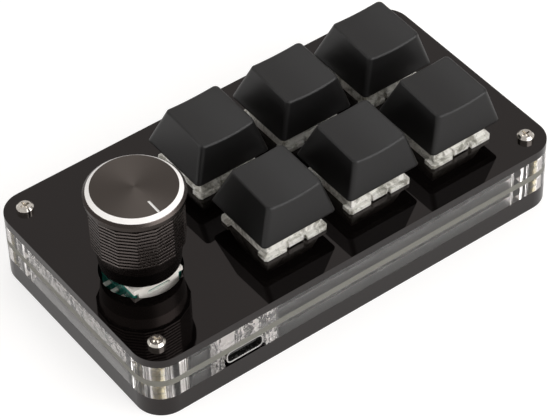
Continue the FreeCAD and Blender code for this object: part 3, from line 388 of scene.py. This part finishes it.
def knob_finish():
    """Black turned metal with a spun top, a bright cut ring and a white pointer line; the ring's matt white is a
    painted reflection, and the darker zones under the ring and at the foot are painted shade.
    """
    n = Nodes("knob_metal")
    low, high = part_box("knob_shell")
    axis = ((low.x + high.x) / 2, (low.y + high.y) / 2, 0.0)
    x, y, z = n.parts(n.vector_math("SUBTRACT", n.place(), axis))
    radius = n.math("SQRT", n.total(n.product(x, x), n.product(y, y)))
    ring = n.product(n.above(z, high.z - RING_DEPTH), n.between(radius, *RING_RADII))
    disc = n.product(n.below(radius, RING_RADII[0]), n.above(z, high.z - DISC_DEPTH))
    pointer = n.product(disc, n.below(z, high.z - POINTER_DEPTH))
    painted_shade_collar = n.product(n.above(radius, COLLAR_RADIUS), n.above(z, high.z - COLLAR_DEPTH))
    painted_shade_skirt = n.below(z, low.z + SKIRT_HEIGHT)
    turned = n.total(ring, disc)
    spun = n.add("CombineXYZ", {0: n.product(radius, 9000.0), 1: n.product(z, 600.0)}).outputs[0]
    grooves = n.noise(spun, 1.0, roughness=0.7)
    grain = n.noise(n.place(), 4000.0)
    colour = n.blend(grain, (0.1, 0.085, 0.08), (0.15, 0.13, 0.122))
    # painted shade: the skirt is darker because little light reaches the knob's underside
    colour = n.blend(painted_shade_skirt, colour, (0.05, 0.043, 0.04))
    # painted shade: the collar is darker to hold down the highlights it catches
    colour = n.blend(painted_shade_collar, colour, (0.055, 0.046, 0.042))
    colour = n.blend(disc, colour, n.blend(grooves, (0.068, 0.058, 0.052), (0.107, 0.093, 0.084)))
    # painted reflection: the cut ring is matt white rather than metal, standing in for its reflection of bright
    # surroundings
    colour = n.blend(ring, colour, (0.93, 0.91, 0.89))
    colour = n.blend(pointer, colour, (0.9, 0.89, 0.87))
    around = n.add("Tangent", direction_type="RADIAL", axis="Z").outputs[0]
    outward = n.vector_math("CROSS_PRODUCT", around, n.flat_normal())
    n.set(Base_Color=colour, Anisotropic=0.7, Tangent=n.mix("VECTOR", turned, around, outward),
          Metallic=n.math("SUBTRACT", 1.0, n.total(pointer, ring, clamp=True)),
          Roughness=n.total(n.total(0.22, n.product(grain, 0.1)), n.product(turned, 0.08)),
          Normal=n.relief(n.product(grooves, turned), 0.003 * MM, 0.5, n.soft_edges(0.1 * MM)))
    return n.material


def finish_frame():
    """Puts a finish on every carried-over piece by its slot in the record."""
    finishes = {
        "black_acrylic": black_sheet(),
        "clear_acrylic": clear_sheet(),
        "board": board_finish(),
        "steel_screw": metal("steel_screw", (0.86, 0.82, 0.76), 0.16, depth=0.01, soft=0.03),
        "brass": metal("brass", (0.3, 0.26, 0.12), 0.35, tint=(0.08, 0.07, 0.03), cloudiness=1800.0),
        "socket_metal": metal("socket_metal", (0.75, 0.74, 0.72), 0.22),
        "socket_plastic": plastic("socket_plastic", grey(0.006), grey(0.012), 0.4, 2500.0, 0.004),
        "chip": plastic("chip", (0.008, 0.008, 0.009), (0.014, 0.014, 0.015), 0.5, 2500.0, 0.004),
        "contact_metal": metal("contact_metal", (0.95, 0.93, 0.88), 0.2, metallic=0.25),
        "encoder_green": plastic("encoder_green", (0.012, 0.12, 0.095), (0.03, 0.22, 0.175),
                                 0.25, 900.0, 0.01),
        "encoder_metal": tinned_plate(),
        "spring_steel": metal("spring_steel", grey(0.7), 0.25),
        "core_plastic": plastic("core_plastic", grey(0.01), grey(0.02), 0.4, 2000.0, 0.004),
        "knob_metal": knob_finish(),
        "switch_housing": housing_finish(),
        "stem_plastic": plastic("stem_plastic", (0.3, 0.02, 0.02), (0.42, 0.03, 0.03),
                                0.35, 2000.0, 0.004),
        "keycap_plastic": keycap_finish(),
    }
    for entry in frame["record"]["subparts"]:
        mesh = nodes[entry["node"]].data
        mesh.materials.clear()
        mesh.materials.append(finishes[entry["material_slot"]])
    return finishes


def closed_piece(name, rings, ends_closed):
    """A mesh piece from equal rings of points: a tube with its ends closed, or else a loop of rings."""
    form = bmesh.new()
    corners = [[form.verts.new(point) for point in ring] for ring in rings]
    pairs = list(zip(corners, corners[1:]))
    if ends_closed:
        form.faces.new(corners[0])
        form.faces.new(corners[-1])
    else:
        pairs.append((corners[-1], corners[0]))
    for ring, following in pairs:
        for i in range(len(ring)):
            j = (i + 1) % len(ring)
            form.faces.new((ring[i], ring[j], following[j], following[i]))
    bmesh.ops.remove_doubles(form, verts=form.verts[:], dist=0.001 * MM)
    bmesh.ops.recalc_face_normals(form, faces=form.faces[:])
    mesh = bpy.data.meshes.new(name)
    form.to_mesh(mesh)
    form.free()
    mesh.shade_smooth()
    return linked(name, mesh)


def linked(name, data):
    """A new object with the given data, in the scene."""
    made = bpy.data.objects.new(name, data)
    bpy.context.scene.collection.objects.link(made)
    return made


def stand_for(piece, node, finish):
    """Puts a sprung piece in its node's place: gives it the finish, carries it with the case and hides the node's
    plain solid.
    """
    piece.data.materials.append(finish)
    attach(piece, "case")
    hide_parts(node)
    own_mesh(piece)


def circle_angles(count):
    return [2 * math.pi * i / count for i in range(count)]


def make_coil(name, node):
    """Coil spring in the node's box, with its end turns wound close."""
    low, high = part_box(node)
    middle = Vector(((low.x + high.x) / 2, (low.y + high.y) / 2, low.z + WIRE_RADIUS))
    radius = (high.x - low.x) / 2 - WIRE_RADIUS
    open_turns = COIL_TURNS - 2
    rise = (high.z - low.z - 2 * WIRE_RADIUS - 2 * END_RISE) / open_turns
    rings = []
    for step in range(COIL_TURNS * STEPS_PER_TURN + 1):
        turn = step / STEPS_PER_TURN
        angle = 2 * math.pi * turn
        closed = min(turn, 1.0) + max(turn - COIL_TURNS + 1, 0.0)
        height = END_RISE * closed + rise * min(max(turn - 1, 0.0), open_turns)
        outward = Vector((math.cos(angle), math.sin(angle), 0.0))
        centre = middle + outward * radius + Vector((0, 0, height))
        rings.append([centre + (outward * math.cos(a) + Vector((0, 0, math.sin(a)))) * WIRE_RADIUS
                      for a in circle_angles(WIRE_SIDES)])
    return closed_piece(name, rings, True)


def make_dome(name, node):
    """Domed snap disc in the node's box."""
    low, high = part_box(node)
    middle = Vector(((low.x + high.x) / 2, (low.y + high.y) / 2, low.z))
    wide, tall = (high.x - low.x) / 2, high.z - low.z
    rings = []
    for share, height in DOME_OUTSIDE + DOME_INSIDE:
        rings.append([middle + Vector((math.cos(a) * wide * share, math.sin(a) * wide * share, tall * height))
                      for a in circle_angles(DOME_SIDES)])
    return closed_piece(name, rings, False)


def make_sprung_pieces(finish):
    """A coil for each key and the dome under the shaft, in the place of the plain solids."""
    for joint in frame["joints"]:
        name = joint["name"]
        if name.startswith("key_press_"):
            key = name[len("key_press_"):]
            node = "key_spring_" + key
            piece = make_coil("key_coil_" + key, node)
        elif name == "knob_press":
            node = "push_dome"
            piece = make_dome("snap_dome", node)
        else:
            continue
        stand_for(piece, node, finish)


def make_floor():
    """White ground that keeps the part's shadow."""
    mesh = bpy.data.meshes.new("floor")
    corners = [(-1, -1), (1, -1), (1, 1), (-1, 1)]
    mesh.from_pydata([(x * FLOOR_REACH, y * FLOOR_REACH, 0) for x, y in corners], [], [(0, 1, 2, 3)])
    floor = linked("floor", mesh)
    n = Nodes("floor")
    seen = n.add("LightPath").outputs
    mirrored = n.product(seen["Is Glossy Ray"], MIRRORED_SHARE)
    through = n.product(seen["Is Transmission Ray"], THROUGH_SHARE)
    shown = n.math("MAXIMUM", seen["Is Camera Ray"], n.math("MAXIMUM", mirrored, through))
    n.set(Base_Color=n.blend(n.noise(n.place(), 30.0), (0.41, 0.4, 0.39), (0.43, 0.42, 0.41)),
          Roughness=0.9, Specular_IOR_Level=0.0,
          Emission_Color=(1.0, 1.0, 1.0, 1.0), Emission_Strength=n.product(shown, FLOOR_GLOW))
    mesh.materials.append(n.material)


def make_world():
    """A pale sweep round the part, dark overhead, that the camera sees as white."""
    world = bpy.data.worlds.new("studio")
    bpy.context.scene.world = world
    world.use_nodes = True
    tree = world.node_tree
    background = tree.nodes["Background"]
    direction = tree.nodes.new("ShaderNodeTexCoord")
    height = tree.nodes.new("ShaderNodeSeparateXYZ")
    tree.links.new(direction.outputs["Generated"], height.inputs[0])
    sweep = tree.nodes.new("ShaderNodeMapRange")
    tree.links.new(height.outputs["Z"], sweep.inputs["Value"])
    ranges = {"From Min": SKY_FALL[0], "From Max": SKY_FALL[1], "To Min": SKY, "To Max": SKY_OVERHEAD}
    for name, number in ranges.items():
        sweep.inputs[name].default_value = number
    seen = tree.nodes.new("ShaderNodeLightPath")
    level = tree.nodes.new("ShaderNodeMapRange")
    tree.links.new(seen.outputs["Is Camera Ray"], level.inputs["Value"])
    tree.links.new(sweep.outputs["Result"], level.inputs["To Min"])
    level.inputs["To Max"].default_value = 1.0
    background.inputs["Color"].default_value = SKY_COLOUR
    tree.links.new(level.outputs["Result"], background.inputs["Strength"])


def make_softbox(name, centre, width, height, power):
    light = bpy.data.lights.new(name, "AREA")
    light.shape = "RECTANGLE"
    light.size = width
    light.size_y = height
    light.energy = power
    made = linked(name, light)
    made.location = centre
    made.rotation_mode = "QUATERNION"
    made.rotation_quaternion = (Vector(SOFTBOX_AIM) - Vector(centre)).to_track_quat("-Z", "Y")


def make_camera():
    """The camera at the photograph's angle, turned about its own axis by the roll."""
    azimuth, elevation, roll = (math.radians(a) for a in (CAMERA_AZIMUTH, CAMERA_ELEVATION, CAMERA_ROLL))
    back = Vector((math.sin(azimuth) * math.cos(elevation), -math.cos(azimuth) * math.cos(elevation),
                   math.sin(elevation)))
    level = Vector((math.cos(azimuth), math.sin(azimuth), 0.0))
    upward = back.cross(level)
    right = level * math.cos(roll) + upward * math.sin(roll)
    up = upward * math.cos(roll) - level * math.sin(roll)
    data = bpy.data.cameras.new("camera")
    data.sensor_width = SENSOR_WIDTH
    data.lens = SENSOR_WIDTH * FOCAL_PIXELS / IMAGE_WIDTH
    data.clip_start, data.clip_end = CAMERA_CLIP
    camera = linked("camera", data)
    turn = Matrix((right, up, back)).transposed().to_4x4()
    camera.matrix_world = Matrix.Translation(CAMERA_TARGET + back * CAMERA_DISTANCE) @ turn
    bpy.context.scene.camera = camera


make_camera()
finishes = finish_frame()
make_sprung_pieces(finishes["spring_steel"])
make_floor()
make_world()
for softbox in SOFTBOXES:
    make_softbox(*softbox)
cycles = bpy.context.scene.cycles
cycles.max_bounces = cycles.transmission_bounces = LIGHT_BOUNCES
cycles.glossy_bounces = GLOSSY_BOUNCES
bpy.context.scene.view_settings.view_transform = "Standard"
